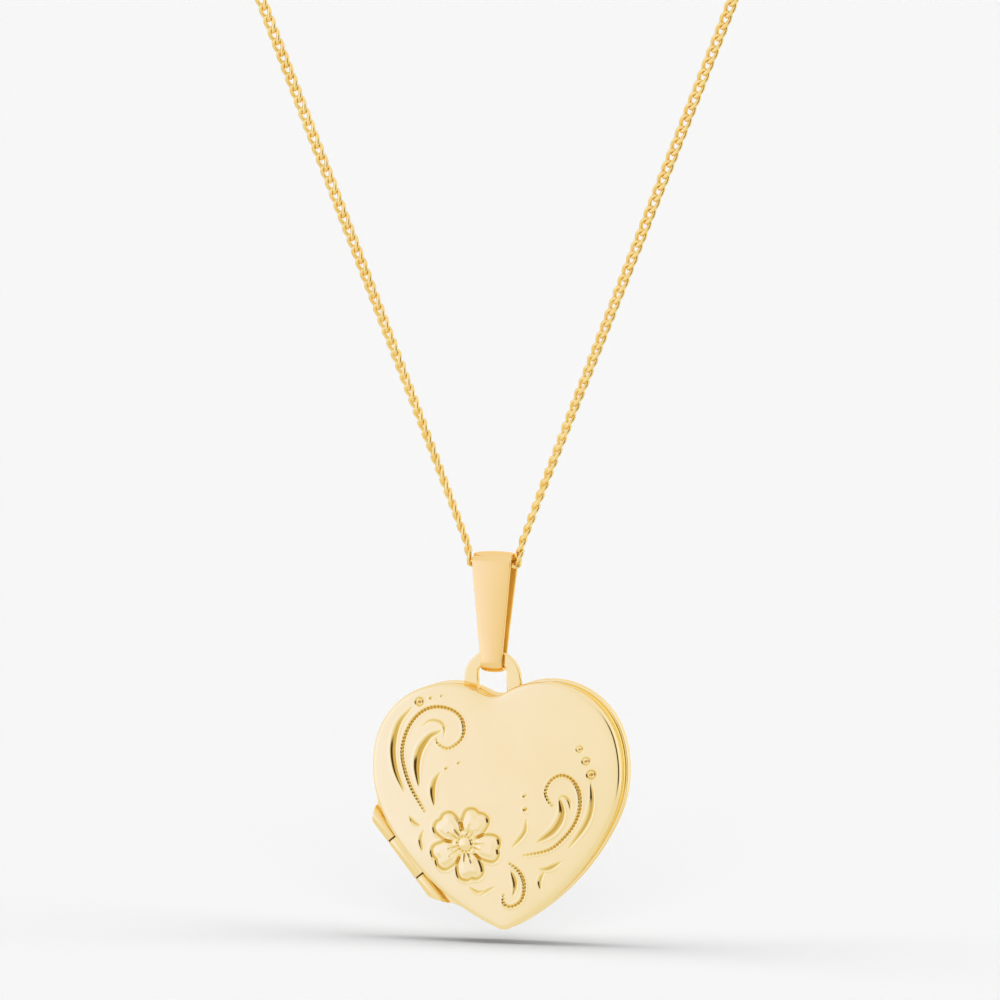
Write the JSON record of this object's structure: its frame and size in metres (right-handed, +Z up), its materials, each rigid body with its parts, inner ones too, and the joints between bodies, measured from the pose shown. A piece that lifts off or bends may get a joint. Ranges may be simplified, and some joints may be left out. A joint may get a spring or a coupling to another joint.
{
  "type": "heart locket with bail and chain",
  "caption": "Hinged heart locket with an engraved cover, hanging by a tapered bail from a fine curb chain with a spring ring clasp and an end tag.",
  "frame": {"origin": "the chain's axis at the middle of its seat in the bail", "axes": "+Z up, the decorated cover faces -Y, +X to the viewer's right"},
  "size_m": [0.0461, 0.0036, 0.0792],
  "materials": {
    "cover_gold": "high polish, pale yellow gold",
    "bezel_gold": "polished yellow gold",
    "hinge_gold": "polished yellow gold",
    "bail_gold": "high polish yellow gold",
    "chain_gold": "polished and diamond cut",
    "clasp_gold": "polished yellow gold",
    "spring_steel": "drawn wire",
    "window_film": "clear acetate film",
    "photo_paper": "matt card"
  },
  "bodies": {
    "necklace": {"chain": "chain_gold", "clasp_link": "clasp_gold", "clasp_eye": "clasp_gold", "clasp_body": "clasp_gold", "clasp_spring": "spring_steel", "tag_link": "clasp_gold", "end_tag": "clasp_gold"},
    "trigger": {"clasp_trigger": "clasp_gold"},
    "bail": {"bail_strap": "bail_gold"},
    "locket_back": {"top_loop": "hinge_gold", "back_cover": "cover_gold", "back_bezel": "bezel_gold", "back_photo_card": "photo_paper", "back_window": "window_film", "back_photo_frame": "bezel_gold", "catch_tongue": "bezel_gold", "hinge_knuckle_upper": "hinge_gold", "hinge_knuckle_lower": "hinge_gold", "hinge_pin": "hinge_gold"},
    "locket_front": {"front_cover": "cover_gold", "front_bezel": "bezel_gold", "front_photo_card": "photo_paper", "front_window": "window_film", "front_photo_frame": "bezel_gold", "hinge_knuckle_middle": "hinge_gold"}
  },
  "joints": [
    {"name": "clasp_slide", "type": "hinge", "parent": "necklace", "child": "trigger", "pos_m": [-0.02121, 0, 0.04927], "axis": [0, -1, 0], "range_deg": [0, 54], "stiffness_Nm_per_rad": 0.001, "springref_deg": -11.46},
    {"name": "bail_swing", "type": "hinge", "parent": "necklace", "child": "bail", "pos_m": [0, 0, 0], "axis": [1, 0, 0], "range_deg": [-70, 70]},
    {"name": "locket_swing", "type": "hinge", "parent": "bail", "child": "locket_back", "pos_m": [0, 0, -0.0072], "axis": [1, 0, 0], "range_deg": [-10, 10]},
    {"name": "cover_hinge", "type": "hinge", "parent": "locket_back", "child": "locket_front", "pos_m": [-0.00672, -0.00028, -0.02196], "axis": [0.6239, 0, -0.7815], "range_deg": [0, 170]}
  ]
}
